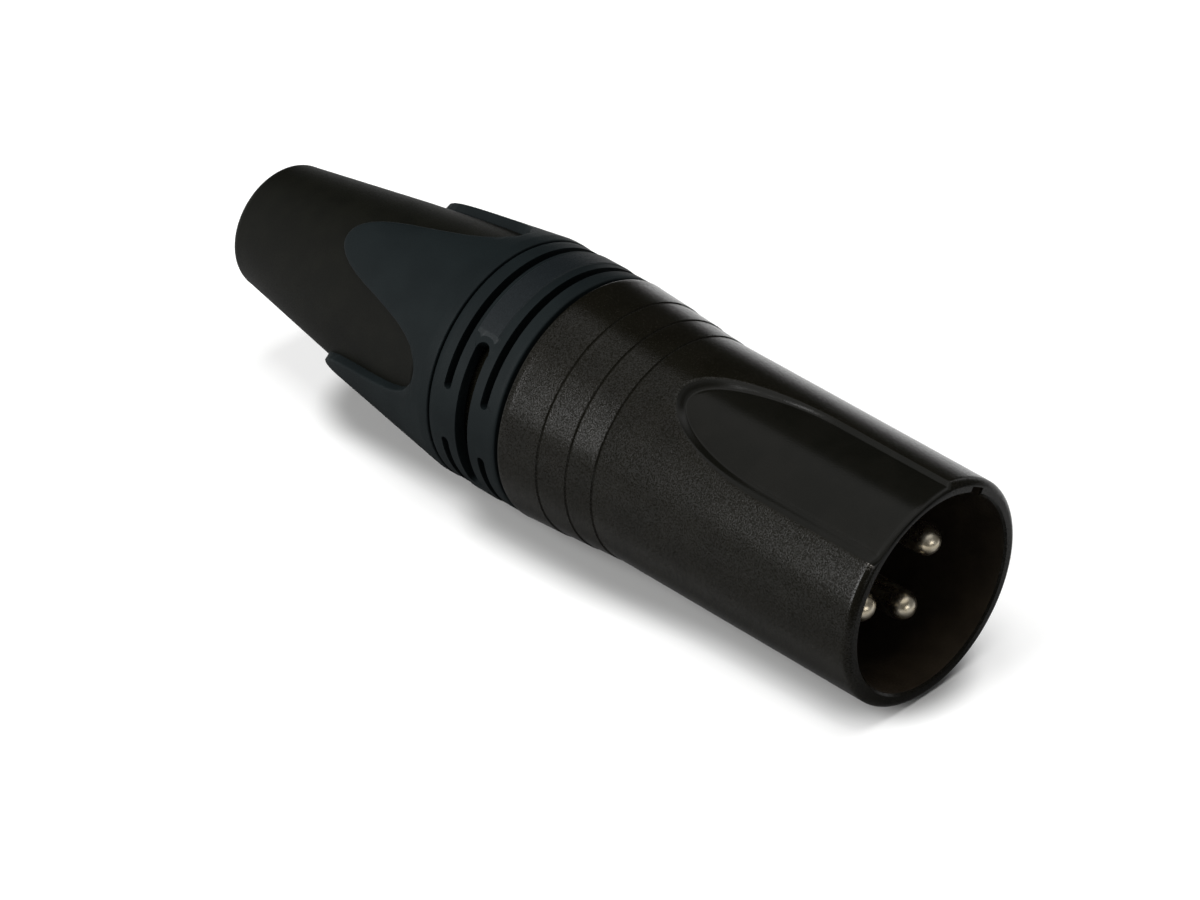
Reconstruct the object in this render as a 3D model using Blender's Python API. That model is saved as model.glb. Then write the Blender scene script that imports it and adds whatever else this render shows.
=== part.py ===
"""Three-pin cable plug, standing on its mating rim with the cable end up.

A die-cast housing holds an insert with three contacts. Behind it a slotted ring sits on the
housing's spigot, and a bushing with four fingers over a soft boot screws into the housing and
squeezes a slit chuck on the cable. The origin is the centre of the rim, +Z runs to the cable end
and +Y is the side with the thumb recess.
"""

import math

import bmesh
import bpy
from mathutils import Matrix

MM = 0.001

# Fits
FIT = 0.2 * MM
FACE_GAP = 0.3 * MM
RING_GAP = 0.35 * MM
THREAD_CLEARANCE = 0.3 * MM
KEY_CLEARANCE = 0.25 * MM

# Housing, outside
BARREL_R = 9.5 * MM
BARREL_LENGTH = 26.4 * MM
BARREL_DRAFT = 0.12 * MM
RIM_ROUND = 0.55 * MM
BAND_LENGTHS = (2.6 * MM, 2.9 * MM, 4.1 * MM)
BAND_STEP = 0.07 * MM
REAR_FLARE = 0.95 * MM
REAR_ROUND = 0.25 * MM
SPIGOT_WALL = 1.25 * MM

# Housing, inside
BARREL_WALL = 1.25 * MM
SOCKET_DEPTH = 15.0 * MM
RIM_CHAMFER = 0.18 * MM
LEDGE_STEP = 1.05 * MM
LEDGE_LENGTH = 1.5 * MM
KEY_GROOVE_WIDTH = 1.3 * MM
KEY_GROOVE_DEPTH = 0.45 * MM
KEY_GROOVE_FOOT = 3.0 * MM
KEY_GROOVE_ANGLE = math.radians(138.6)

# Thumb recess in the barrel
RECESS_HALF_WIDTH = 4.5 * MM
RECESS_MARGIN = 3.1 * MM
RECESS_END_LENGTH = 11.8 * MM
RECESS_DEPTH = 0.45 * MM
RECESS_SLOPE = 0.7 * MM
RECESS_ANGLE = math.radians(90.0)

# Contacts
PIN_R = 1.2 * MM
PIN_CIRCLE_R = 3.81 * MM
PIN_RECESS = 2.8 * MM
PIN_FLANGE_RISE = 0.45 * MM
PIN_FLANGE_LENGTH = 1.0 * MM
CUP_WALL = 0.45 * MM
CUP_BORE_R = 1.05 * MM
CUP_LENGTH = 6.4 * MM
CUP_DEPTH = 4.2 * MM
PIN_ANGLES = (0.0, 180.0, 270.0)

# Contact insert
INSERT_FLANGE_LENGTH = 2.2 * MM
INSERT_BODY_LENGTH = 4.0 * MM
FIN_THICKNESS = 0.9 * MM
FIN_OVER_CUPS = 0.2 * MM
FIN_INSET = 0.4 * MM
FIN_ANGLES = (90.0, 225.0, 315.0)

# Ground contact, in the room between the insert's body and the housing's bore
LEAF_ROOM = 0.9 * MM
LEAF_THICKNESS = 0.3 * MM
LEAF_LENGTH = 7.5 * MM
LEAF_WIDTH = 3.2 * MM
LEAF_ANGLE = math.radians(45.0)

# Slotted ring
RING_LENGTH = 7.3 * MM
RING_WALL = 1.15 * MM
RING_PROUD = 0.05 * MM
RING_ROUND = 0.15 * MM
OUTER_SLOT_WIDTH = 0.62 * MM
FRONT_SLOT_INSET = 1.55 * MM
REAR_SLOT_INSET = 1.65 * MM
MIDDLE_SLOT_WIDTH = 0.85 * MM
BRIDGE_ANGLE = math.radians(22.3)
BRIDGE_HALF_SPAN = math.radians(12.4)
MIDDLE_HALF_SPAN = math.radians(36.9)

# Bushing
COLLAR_LENGTH = 2.15 * MM
COLLAR_LAND = 0.95 * MM
COLLAR_ROUND = 0.12 * MM
SKIRT_LENGTH = 13.3 * MM
SKIRT_TAPER = 2.08 * MM
FINGER_PROUD = 0.85 * MM
FINGER_SEAT = 0.55 * MM
FINGER_COUNT = 4
FINGER_ANGLE = math.radians(76.6)
WINDOW_ARCH_R = 2.75 * MM
WINDOW_TAPER = 0.2
FINGER_TIP_LENGTH = 4.7 * MM
TIP_OVERLAP = math.radians(1.0)
NOSE_WALL = 1.15 * MM
SLEEVE_LENGTH = 4.6 * MM
SLEEVE_WALL = 0.85 * MM
SLEEVE_TAPER = 1.1 * MM

# Soft boot
BOOT_TAIL_LENGTH = 13.5 * MM
BOOT_TAIL_TAPER = 2.05 * MM
BOOT_END_ROUND = 1.1 * MM
BOOT_END_WALL = 1.42 * MM
BOOT_THROAT_LENGTH = 5.0 * MM

# Chuck
CHUCK_WALL = 1.9 * MM
CHUCK_COLLAR_GAP = 0.4 * MM
CHUCK_COLLAR_LENGTH = 3.0 * MM
CHUCK_KEY_RISE = 0.8 * MM
CHUCK_KEY_WIDTH = 2.0 * MM
CHUCK_SLIT_WIDTH = 0.8 * MM
CHUCK_SLIT_MARGIN = 5.0 * MM

# Radii that follow from the barrel inwards and outwards
SOCKET_R = BARREL_R - BARREL_WALL
LEDGE_R = SOCKET_R - LEDGE_STEP
REAR_R = BARREL_R + REAR_FLARE
RING_R = REAR_R + RING_PROUD
RING_BORE_R = RING_R - RING_WALL
SPIGOT_R = RING_BORE_R - FIT
REAR_BORE_R = SPIGOT_R - SPIGOT_WALL
INSERT_BODY_R = REAR_BORE_R - LEAF_ROOM
NOSE_R = REAR_BORE_R - THREAD_CLEARANCE
NOSE_BORE_R = NOSE_R - NOSE_WALL
SLEEVE_R = NOSE_BORE_R + SLEEVE_WALL
SKIRT_TIP_R = RING_R - SKIRT_TAPER
BOOT_TIP_R = SKIRT_TIP_R - FINGER_PROUD
BOOT_END_R = BOOT_TIP_R - BOOT_TAIL_TAPER
CABLE_HOLE_R = BOOT_END_R - BOOT_END_WALL
CHUCK_R = NOSE_BORE_R - FACE_GAP
CHUCK_BORE_R = CHUCK_R - CHUCK_WALL
CHUCK_COLLAR_R = REAR_BORE_R - CHUCK_COLLAR_GAP
CHUCK_KEY_R = CHUCK_COLLAR_R + CHUCK_KEY_RISE

# Stations along the axis, from the outside
REAR_EDGE_Z = BARREL_LENGTH + sum(BAND_LENGTHS)
RING_Z = REAR_EDGE_Z + RING_GAP
RING_END_Z = RING_Z + RING_LENGTH
SPIGOT_END_Z = RING_END_Z - FIT
COLLAR_Z = RING_END_Z + FIT
SKIRT_Z = COLLAR_Z + COLLAR_LENGTH
TIP_Z = SKIRT_Z + SKIRT_LENGTH
SLEEVE_END_Z = SKIRT_Z + SLEEVE_LENGTH
BOOT_Z = SKIRT_Z + FACE_GAP
BOOT_END_Z = TIP_Z + BOOT_TAIL_LENGTH

# Stations of the stack inside, from the socket's floor
LEDGE_Z = SOCKET_DEPTH + FIT
FLANGE_Z = LEDGE_Z + LEDGE_LENGTH + FIT
BODY_Z = FLANGE_Z + INSERT_FLANGE_LENGTH
FIN_Z = BODY_Z + INSERT_BODY_LENGTH
PIN_FLANGE_Z = FIN_Z - PIN_FLANGE_LENGTH + FIT
CUP_Z = PIN_FLANGE_Z + PIN_FLANGE_LENGTH
CUP_END_Z = CUP_Z + CUP_LENGTH
FIN_END_Z = CUP_END_Z + FIN_OVER_CUPS
CHUCK_Z = FIN_END_Z + FACE_GAP
CHUCK_COLLAR_END_Z = CHUCK_Z + CHUCK_COLLAR_LENGTH
NOSE_Z = CHUCK_COLLAR_END_Z + FACE_GAP

# Facets
SEGMENTS = 60
FINE_SEGMENTS = 20
ROUND_STEPS = 4
WINDOW_ROWS = 9
SHARP_ANGLE = math.radians(28)


def clear_scene():
    for item in list(bpy.data.objects):
        bpy.data.objects.remove(item, do_unlink=True)


def make_material(name, colour, roughness, metallic):
    made = bpy.data.materials.new(name)
    made.use_nodes = True
    shader = made.node_tree.nodes["Principled BSDF"]
    shader.inputs["Base Color"].default_value = (*colour, 1.0)
    shader.inputs["Roughness"].default_value = roughness
    shader.inputs["Metallic"].default_value = metallic
    return made


def add_object(name, shape, look=None):
    """Closes a bmesh into a named object with its faces pointing out."""
    bmesh.ops.recalc_face_normals(shape, faces=shape.faces)
    mesh = bpy.data.meshes.new(name)
    shape.to_mesh(mesh)
    shape.free()
    made = bpy.data.objects.new(name, mesh)
    bpy.context.scene.collection.objects.link(made)
    if look is None:
        made.hide_render = True
        made.display_type = "WIRE"
    else:
        mesh.materials.append(look)
        mesh.shade_smooth()
        mesh.set_sharp_from_angle(angle=SHARP_ANGLE)
    return made


def combine(target, tool, operation):
    step = target.modifiers.new(operation.title() + " " + tool.name, "BOOLEAN")
    step.operation = operation
    step.object = tool


def arc(centre_r, centre_z, radius, start, end, steps=ROUND_STEPS):
    """Points of an arc in the (radius, z) plane, with angles in degrees from the +radius side."""
    turns = [math.radians(start + (end - start) * i / steps) for i in range(steps + 1)]
    return [(centre_r + radius * math.cos(t), centre_z + radius * math.sin(t)) for t in turns]


def turned(name, loop, look=None, segments=SEGMENTS):
    """Turns a closed (radius, z) loop round the axis. Points on the axis become one vertex."""
    shape = bmesh.new()
    rings = []
    for radius, z in loop:
        if radius == 0.0:
            rings.append([shape.verts.new((0.0, 0.0, z))] * segments)
            continue
        turns = [2 * math.pi * i / segments for i in range(segments)]
        rings.append([shape.verts.new((radius * math.cos(t), radius * math.sin(t), z)) for t in turns])
    for low, high in zip(rings, rings[1:] + rings[:1]):
        for i in range(segments):
            j = (i + 1) % segments
            corners = list(dict.fromkeys((low[i], low[j], high[j], high[i])))
            if len(corners) > 2:
                shape.faces.new(corners)
    return add_object(name, shape, look)


def curved_slab(name, rows, centre_angle, columns, look=None):
    """A slab bent round the axis. Each row gives (z, half angle, radius) inside and then outside."""
    shape = bmesh.new()
    sheets = []
    for side in (0, 1):
        sheet = []
        for row in rows:
            z, half, radius = row[side]
            turns = [centre_angle - half + 2 * half * i / columns for i in range(columns + 1)]
            sheet.append([shape.verts.new((radius * math.cos(t), radius * math.sin(t), z)) for t in turns])
        sheets.append(sheet)
    inside, outside = sheets
    for sheet in sheets:
        for low, high in zip(sheet, sheet[1:]):
            for i in range(columns):
                shape.faces.new((low[i], low[i + 1], high[i + 1], high[i]))
    for i in range(columns):
        for row in (0, -1):
            shape.faces.new((inside[row][i], inside[row][i + 1], outside[row][i + 1], outside[row][i]))
    for k in range(len(rows) - 1):
        for i in (0, -1):
            shape.faces.new((inside[k][i], inside[k + 1][i], outside[k + 1][i], outside[k][i]))
    return add_object(name, shape, look)


def straight_slab(name, low_z, high_z, inner_r, outer_r, centre_angle, half_angle, columns, look=None):
    rows = [((z, half_angle, inner_r), (z, half_angle, outer_r)) for z in (low_z, high_z)]
    return curved_slab(name, rows, centre_angle, columns, look)


def block(name, low, high, turn=0.0):
    """A box between two corners, turned about the axis."""
    shape = bmesh.new()
    size = [b - a for a, b in zip(low, high)]
    centre = [(a + b) / 2 for a, b in zip(low, high)]
    place = Matrix.Rotation(turn, 4, "Z") @ Matrix.Translation(centre) @ Matrix.Diagonal((*size, 1.0))
    bmesh.ops.create_cube(shape, size=1.0, matrix=place)
    return add_object(name, shape)


def rod(name, radius, low_z, high_z, at, segments=FINE_SEGMENTS):
    """A cylinder along the axis direction, centred on the point (x, y)."""
    shape = bmesh.new()
    place = Matrix.Translation((at[0], at[1], (low_z + high_z) / 2))
    bmesh.ops.create_cone(
        shape,
        cap_ends=True,
        segments=segments,
        radius1=radius,
        radius2=radius,
        depth=high_z - low_z,
        matrix=place,
    )
    return add_object(name, shape)


def lerp(a, b, t):
    return a + (b - a) * t


def skirt_r(z):
    """Outer radius of the bushing behind its land."""
    start = COLLAR_Z + COLLAR_LAND
    return lerp(RING_R, SKIRT_TIP_R, (z - start) / (TIP_Z - start))


def boot_r(z):
    """Outer radius of the soft boot, which lies under the fingers and then tapers to its end."""
    if z < TIP_Z:
        return skirt_r(z) - FINGER_PROUD
    return lerp(BOOT_TIP_R, BOOT_END_R, (z - TIP_Z) / BOOT_TAIL_LENGTH)


def window_half_angle(z, shrink=0.0):
    """Half angle of the window between two fingers, from its arch to the finger tips."""
    arch_z = SKIRT_Z + WINDOW_ARCH_R
    radius = WINDOW_ARCH_R - shrink
    if z < arch_z:
        half = math.sqrt(max(radius**2 - (arch_z - z) ** 2, 0.0))
    else:
        half = radius + WINDOW_TAPER * (z - arch_z)
    share = math.pi / FINGER_COUNT + TIP_OVERLAP
    tip_start = TIP_Z + shrink - FINGER_TIP_LENGTH
    if z <= tip_start:
        return half / skirt_r(z)
    width = share - window_half_angle(tip_start, shrink)
    reach = min((z - tip_start) / FINGER_TIP_LENGTH, 1.0)
    return share - width * math.sqrt(1.0 - reach**2)


def window_stations(shrink=0.0):
    """Stations along a window, closer together where its outline turns."""
    arch_start = SKIRT_Z + shrink
    arch_end = SKIRT_Z + WINDOW_ARCH_R
    tip_start = TIP_Z + shrink - FINGER_TIP_LENGTH
    turns = [math.pi / 2 * i / WINDOW_ROWS for i in range(WINDOW_ROWS + 1)]
    arch = [arch_end - (arch_end - arch_start) * math.cos(t) for t in turns[1:]]
    tip = [tip_start + FINGER_TIP_LENGTH * math.sin(t) for t in turns]
    return arch + tip


def make_housing(look):
    band_z = [BARREL_LENGTH]
    for length in BAND_LENGTHS:
        band_z.append(band_z[-1] + length)
    cone_start = BARREL_R + BARREL_DRAFT
    loop = [(SOCKET_R + RIM_CHAMFER, 0.0)]
    loop += arc(BARREL_R - RIM_ROUND, RIM_ROUND, RIM_ROUND, -90, 0)
    loop.append((cone_start, BARREL_LENGTH))
    for low, high in zip(band_z, band_z[1:]):
        share = [(z - BARREL_LENGTH) / (REAR_EDGE_Z - BARREL_LENGTH) for z in (low, high)]
        loop.append((lerp(cone_start, REAR_R, share[0]) + BAND_STEP, low + BAND_STEP))
        loop.append((lerp(cone_start, REAR_R, share[1]), high))
    loop.pop()
    loop += arc(REAR_R - REAR_ROUND, REAR_EDGE_Z - REAR_ROUND, REAR_ROUND, 0, 90)
    loop += [
        (SPIGOT_R, REAR_EDGE_Z),
        (SPIGOT_R, SPIGOT_END_Z - FACE_GAP),
        (SPIGOT_R - FACE_GAP, SPIGOT_END_Z),
        (REAR_BORE_R, SPIGOT_END_Z),
        (REAR_BORE_R, LEDGE_Z + LEDGE_LENGTH),
        (LEDGE_R, LEDGE_Z + LEDGE_LENGTH),
        (LEDGE_R, LEDGE_Z),
        (SOCKET_R, LEDGE_Z),
        (SOCKET_R, RIM_CHAMFER),
    ]
    housing = turned("housing", loop, look)

    rows = []
    end_centre = BARREL_LENGTH - RECESS_MARGIN - RECESS_END_LENGTH
    floor_r = BARREL_R - RECESS_DEPTH
    top_r = BARREL_R + RECESS_DEPTH
    outline = [(end_centre * i / 3, 1.0) for i in range(4)]
    outline[0] = (-1.0 * MM, 1.0)
    turns = [math.radians(88.0) * i / 11 for i in range(1, 12)]
    outline += [(end_centre + RECESS_END_LENGTH * math.sin(t), math.cos(t)) for t in turns]
    inset = (RECESS_END_LENGTH - RECESS_SLOPE) / RECESS_END_LENGTH
    for z, width in outline:
        low_z = end_centre + (z - end_centre) * inset if z > end_centre else z
        low = (low_z, (RECESS_HALF_WIDTH - RECESS_SLOPE) * width / floor_r, floor_r)
        high = (z, RECESS_HALF_WIDTH * width / BARREL_R, top_r)
        rows.append((low, high))
    recess = curved_slab("cut thumb recess", rows, RECESS_ANGLE, 8)
    combine(housing, recess, "DIFFERENCE")

    groove = block(
        "cut key groove",
        (SOCKET_R - 1.0 * MM, -KEY_GROOVE_WIDTH / 2, -1.0 * MM),
        (SOCKET_R + KEY_GROOVE_DEPTH, KEY_GROOVE_WIDTH / 2, SOCKET_DEPTH - KEY_GROOVE_FOOT),
        KEY_GROOVE_ANGLE,
    )
    combine(housing, groove, "DIFFERENCE")

    keyway_r = CHUCK_KEY_R + KEY_CLEARANCE
    keyway = block(
        "cut chuck keyways",
        (-keyway_r, -CHUCK_KEY_WIDTH / 2 - FIT, CHUCK_Z - FACE_GAP),
        (keyway_r, CHUCK_KEY_WIDTH / 2 + FIT, SPIGOT_END_Z + 1.0 * MM),
    )
    combine(housing, keyway, "DIFFERENCE")
    return housing


def make_insert(look):
    boss_r = LEDGE_R - FIT
    flange_r = REAR_BORE_R - FIT
    loop = [
        (0.0, SOCKET_DEPTH),
        (boss_r, SOCKET_DEPTH),
        (boss_r, FLANGE_Z),
        (flange_r, FLANGE_Z),
        (flange_r, BODY_Z),
        (INSERT_BODY_R, BODY_Z),
        (INSERT_BODY_R, FIN_Z),
        (0.0, FIN_Z),
    ]
    insert = turned("contact_insert", loop, look, 48)
    for angle in FIN_ANGLES:
        fin = block(
            f"add fin {angle:.0f}",
            (-FIN_THICKNESS / 2, -FIN_THICKNESS / 2, FIN_Z - 1.0 * MM),
            (INSERT_BODY_R - FIN_INSET, FIN_THICKNESS / 2, FIN_END_Z),
            math.radians(angle),
        )
        combine(insert, fin, "UNION")
    for number, at in enumerate(pin_places(), 1):
        bore = rod(f"cut contact bore {number}", PIN_R + FIT, 0.0, FIN_Z + 1.0 * MM, at)
        combine(insert, bore, "DIFFERENCE")
        seat_r = PIN_R + PIN_FLANGE_RISE + FIT
        seat = rod(f"cut flange seat {number}", seat_r, FIN_Z - PIN_FLANGE_LENGTH, FIN_Z + 1.0 * MM, at)
        combine(insert, seat, "DIFFERENCE")
    return insert


def pin_places():
    turns = [math.radians(angle) for angle in PIN_ANGLES]
    return [(PIN_CIRCLE_R * math.cos(t), PIN_CIRCLE_R * math.sin(t)) for t in turns]


def make_pin(number, at, look):
    flange_r = PIN_R + PIN_FLANGE_RISE
    cup_r = CUP_BORE_R + CUP_WALL
    cup_floor_z = CUP_END_Z - CUP_DEPTH
    loop = [(0.0, PIN_RECESS)]
    loop += arc(0.0, PIN_RECESS + PIN_R, PIN_R, -90, 0, 6)[1:]
    loop += [
        (PIN_R, PIN_FLANGE_Z),
        (flange_r, PIN_FLANGE_Z),
        (flange_r, CUP_Z),
        (cup_r, CUP_Z),
        (cup_r, CUP_END_Z),
        (CUP_BORE_R, CUP_END_Z),
        (CUP_BORE_R, cup_floor_z),
        (0.0, cup_floor_z),
    ]
    pin = turned(f"contact_pin_{number}", loop, look, FINE_SEGMENTS)
    pin.location = (at[0], at[1], 0.0)
    outward = math.atan2(at[1], at[0])
    mouth = block(
        f"cut solder mouth {number}",
        (CUP_BORE_R * 0.35, -cup_r * 1.5, CUP_END_Z - CUP_DEPTH * 0.8),
        (cup_r * 1.5, cup_r * 1.5, CUP_END_Z + 1.0 * MM),
        outward,
    )
    mouth.location = pin.location
    combine(pin, mouth, "DIFFERENCE")
    return pin


def make_ground_contact(look):
    """A leaf that lies between the insert's body and the housing's bore, bowed towards the bore."""
    low_z = BODY_Z + FACE_GAP
    base_r = INSERT_BODY_R + FACE_GAP * 0.8
    bow = REAR_BORE_R - FACE_GAP * 0.6 - LEAF_THICKNESS - base_r
    rows = []
    for i in range(9):
        share = i / 8
        z = low_z + LEAF_LENGTH * share
        radius = base_r + bow * math.sin(math.pi * share)
        half = LEAF_WIDTH / 2 / base_r
        rows.append(((z, half, radius), (z, half, radius + LEAF_THICKNESS)))
    return curved_slab("ground_contact", rows, LEAF_ANGLE, 4, look)


def make_ring(look):
    loop = [(RING_BORE_R, RING_Z)]
    loop += arc(RING_R - RING_ROUND, RING_Z + RING_ROUND, RING_ROUND, -90, 0, 2)
    loop += arc(RING_R - RING_ROUND, RING_END_Z - RING_ROUND, RING_ROUND, 0, 90, 2)
    loop.append((RING_BORE_R, RING_END_Z))
    ring = turned("slotted_ring", loop, look)
    front_z = RING_Z + FRONT_SLOT_INSET
    rear_z = RING_END_Z - REAR_SLOT_INSET
    outer_half = math.pi / 2 - BRIDGE_HALF_SPAN
    rows = (
        ("front", front_z, OUTER_SLOT_WIDTH, math.pi / 2, outer_half, 12),
        ("rear", rear_z, OUTER_SLOT_WIDTH, math.pi / 2, outer_half, 12),
        ("middle", (front_z + rear_z) / 2, MIDDLE_SLOT_WIDTH, 0.0, MIDDLE_HALF_SPAN, 6),
    )
    for label, z, width, offset, half, columns in rows:
        for side in (0, 1):
            slot = straight_slab(
                f"cut {label} slot {side + 1}",
                z - width / 2,
                z + width / 2,
                RING_BORE_R - 0.5 * MM,
                RING_R + 0.5 * MM,
                BRIDGE_ANGLE + offset + math.pi * side,
                half,
                columns,
            )
            combine(ring, slot, "DIFFERENCE")
    return ring


def make_bushing(look):
    tip_inner_r = boot_r(TIP_Z) - FINGER_SEAT
    root_inner_r = boot_r(SKIRT_Z) - FINGER_SEAT
    loop = [(NOSE_BORE_R, NOSE_Z), (NOSE_R - FACE_GAP, NOSE_Z), (NOSE_R, NOSE_Z + FACE_GAP), (NOSE_R, COLLAR_Z)]
    loop += arc(RING_R - COLLAR_ROUND, COLLAR_Z + COLLAR_ROUND, COLLAR_ROUND, -90, 0, 2)
    loop += [
        (RING_R, COLLAR_Z + COLLAR_LAND),
        (SKIRT_TIP_R, TIP_Z),
        (tip_inner_r, TIP_Z),
        (root_inner_r, SKIRT_Z),
        (SLEEVE_R, SKIRT_Z),
        (SLEEVE_R - SLEEVE_TAPER, SLEEVE_END_Z),
        (NOSE_BORE_R - SLEEVE_TAPER, SLEEVE_END_Z),
        (NOSE_BORE_R, SKIRT_Z),
    ]
    bushing = turned("bushing", loop, look)
    cut_windows(bushing, "window", FINGER_SEAT + FACE_GAP, 0.0)
    return bushing


def cut_windows(target, label, under, shrink):
    """Cuts the windows between the fingers from a sleeve, from just under its inner face outwards."""
    rows = []
    for z in window_stations(shrink) + [TIP_Z + 2.0 * MM]:
        half = window_half_angle(z, shrink)
        rows.append(((z, half, boot_r(z) - under), (z, half, RING_R + 2.0 * MM)))
    for i in range(FINGER_COUNT):
        centre = FINGER_ANGLE + math.pi / FINGER_COUNT * (2 * i + 1)
        window = curved_slab(f"cut {label} {i + 1}", rows, centre, 10)
        combine(target, window, "DIFFERENCE")


def make_boot(look):
    throat_z = SLEEVE_END_Z + FACE_GAP
    end_r = boot_r(BOOT_END_Z - BOOT_END_ROUND)
    loop = [(SLEEVE_R + FACE_GAP, BOOT_Z), (boot_r(BOOT_Z), BOOT_Z), (boot_r(TIP_Z), TIP_Z)]
    loop += arc(end_r - BOOT_END_ROUND, BOOT_END_Z - BOOT_END_ROUND, BOOT_END_ROUND, 0, 90)
    loop += [
        (CABLE_HOLE_R, BOOT_END_Z),
        (CABLE_HOLE_R, throat_z + BOOT_THROAT_LENGTH),
        (NOSE_BORE_R - SLEEVE_TAPER, throat_z),
        (SLEEVE_R + FACE_GAP, throat_z),
    ]
    boot = turned("soft_boot", loop, look)
    drop = FINGER_SEAT + FACE_GAP
    pockets = pocket_tool(drop)
    combine(boot, pockets, "DIFFERENCE")
    return boot


def pocket_tool(drop):
    """The seats for the fingers in the boot: a sleeve with the windows, a little smaller, cut from it."""
    low_z = BOOT_Z - 1.0 * MM
    high_z = TIP_Z + 1.0 * MM
    loop = [
        (boot_r(low_z) - drop, low_z),
        (RING_R + 1.0 * MM, low_z),
        (RING_R + 1.0 * MM, high_z),
        (boot_r(high_z) - drop, high_z),
    ]
    sleeve = turned("cut finger seats", loop)
    cut_windows(sleeve, "land", drop + FACE_GAP, FIT)
    return sleeve


def make_chuck(look):
    slope = SLEEVE_TAPER / SLEEVE_LENGTH
    cone_z = SKIRT_Z - (NOSE_BORE_R - CHUCK_R) * slope
    end_z = SLEEVE_END_Z - FACE_GAP
    loop = [
        (CHUCK_BORE_R, CHUCK_Z),
        (CHUCK_COLLAR_R, CHUCK_Z),
        (CHUCK_COLLAR_R, CHUCK_COLLAR_END_Z),
        (CHUCK_R, CHUCK_COLLAR_END_Z),
        (CHUCK_R, cone_z),
        (CHUCK_R - slope * (end_z - cone_z), end_z),
        (CHUCK_BORE_R, end_z),
    ]
    chuck = turned("chuck", loop, look, 48)
    for side in (0, 1):
        key = block(
            f"add key {side + 1}",
            (CHUCK_COLLAR_R - 1.0 * MM, -CHUCK_KEY_WIDTH / 2, CHUCK_Z + FIT),
            (CHUCK_KEY_R, CHUCK_KEY_WIDTH / 2, CHUCK_COLLAR_END_Z - FIT),
            math.pi * side,
        )
        combine(chuck, key, "UNION")
    for side in (0, 1):
        slit = block(
            f"cut slit {side + 1}",
            (-CHUCK_R * 1.2, -CHUCK_SLIT_WIDTH / 2, CHUCK_COLLAR_END_Z + CHUCK_SLIT_MARGIN),
            (CHUCK_R * 1.2, CHUCK_SLIT_WIDTH / 2, SLEEVE_END_Z + 1.0 * MM),
            math.pi / 4 + math.pi / 2 * side,
        )
        combine(chuck, slit, "DIFFERENCE")
    return chuck


def main():
    clear_scene()
    cast = make_material("housing_black", (0.035, 0.032, 0.03), 0.42, 0.6)
    moulded = make_material("insert_black", (0.02, 0.018, 0.017), 0.5, 0.0)
    silver = make_material("contact_silver", (0.8, 0.78, 0.72), 0.22, 1.0)
    matt = make_material("bushing_black", (0.035, 0.04, 0.043), 0.55, 0.0)
    rubber = make_material("boot_rubber", (0.03, 0.028, 0.025), 0.7, 0.0)
    acetal = make_material("chuck_acetal", (0.09, 0.09, 0.09), 0.45, 0.0)
    make_housing(cast)
    make_insert(moulded)
    for number, at in enumerate(pin_places(), 1):
        make_pin(number, at, silver)
    make_ground_contact(silver)
    make_ring(matt)
    make_bushing(matt)
    make_boot(rubber)
    make_chuck(acetal)


main()
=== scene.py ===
import math

import bmesh
import bpy
import numpy as np
from mathutils import Matrix, Quaternion, Vector


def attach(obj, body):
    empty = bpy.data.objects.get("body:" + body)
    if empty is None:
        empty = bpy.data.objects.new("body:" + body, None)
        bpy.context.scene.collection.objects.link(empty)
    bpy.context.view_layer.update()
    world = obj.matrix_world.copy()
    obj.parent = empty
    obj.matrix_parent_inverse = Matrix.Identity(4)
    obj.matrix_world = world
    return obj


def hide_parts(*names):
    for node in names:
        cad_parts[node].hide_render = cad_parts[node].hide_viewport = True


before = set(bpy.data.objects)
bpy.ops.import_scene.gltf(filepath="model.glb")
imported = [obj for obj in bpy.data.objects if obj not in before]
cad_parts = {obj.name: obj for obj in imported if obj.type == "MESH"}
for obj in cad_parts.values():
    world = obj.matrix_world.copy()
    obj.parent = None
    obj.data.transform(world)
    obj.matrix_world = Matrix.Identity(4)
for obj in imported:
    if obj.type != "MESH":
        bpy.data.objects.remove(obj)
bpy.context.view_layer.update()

MM = 0.001
TAU = 2 * math.pi
DEG = math.pi / 180
WELD = 2e-7

# Heights along the axis and radii in mm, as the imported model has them
BARREL_R = 9.5
BARREL_END = 26.4
BAND_STARTS = (26.4, 29.0, 31.9)
REAR_EDGE = 36.0
SPIGOT_END = 43.45
RING_LOW, RING_HIGH = 36.35, 43.68
COLLAR_LOW = 43.81
SKIRT_LOW = 46.0
ARCH_APEX = 45.95
TIP = 59.3
SLEEVE_HIGH = 50.6
BOOT_LOW, BOOT_HIGH = 46.3, 72.8
SOCKET_R, LEDGE_R, BORE_R = 8.25, 7.2, 7.9
SPIGOT_R, RING_R, NOSE_R, NOSE_BORE_R = 9.15, 10.5, 7.6, 6.45
PIN_PLACES = ((3.81, 0.0), (-3.81, 0.0), (0.0, -3.81))
FINGER_ANGLES = [76.6 + 90 * i for i in range(4)]


# Small helpers for shapes

def smooth(t):
    """Eases from 0 to 1."""
    t = np.clip(t, 0.0, 1.0)
    return t * t * (3 - 2 * t)


def spaced(low, high, step):
    """Even stations about one step apart, with both ends."""
    count = max(1, round((high - low) / step))
    return list(np.linspace(low, high, count + 1))


def slow_start(low, reach, steps):
    """Stations that lie closer near their low end."""
    return [low + reach * (i / steps) ** 2 for i in range(steps + 1)]


def slow_end(high, reach, steps):
    """Stations that lie closer near their high end."""
    return [high - reach * (1 - i / steps) ** 2 for i in range(steps + 1)]


def arc(centre_r, centre_z, radius, start, end, steps):
    turns = np.linspace(start * DEG, end * DEG, steps + 1)
    return [(centre_r + radius * math.cos(t), centre_z + radius * math.sin(t)) for t in turns]


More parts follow.
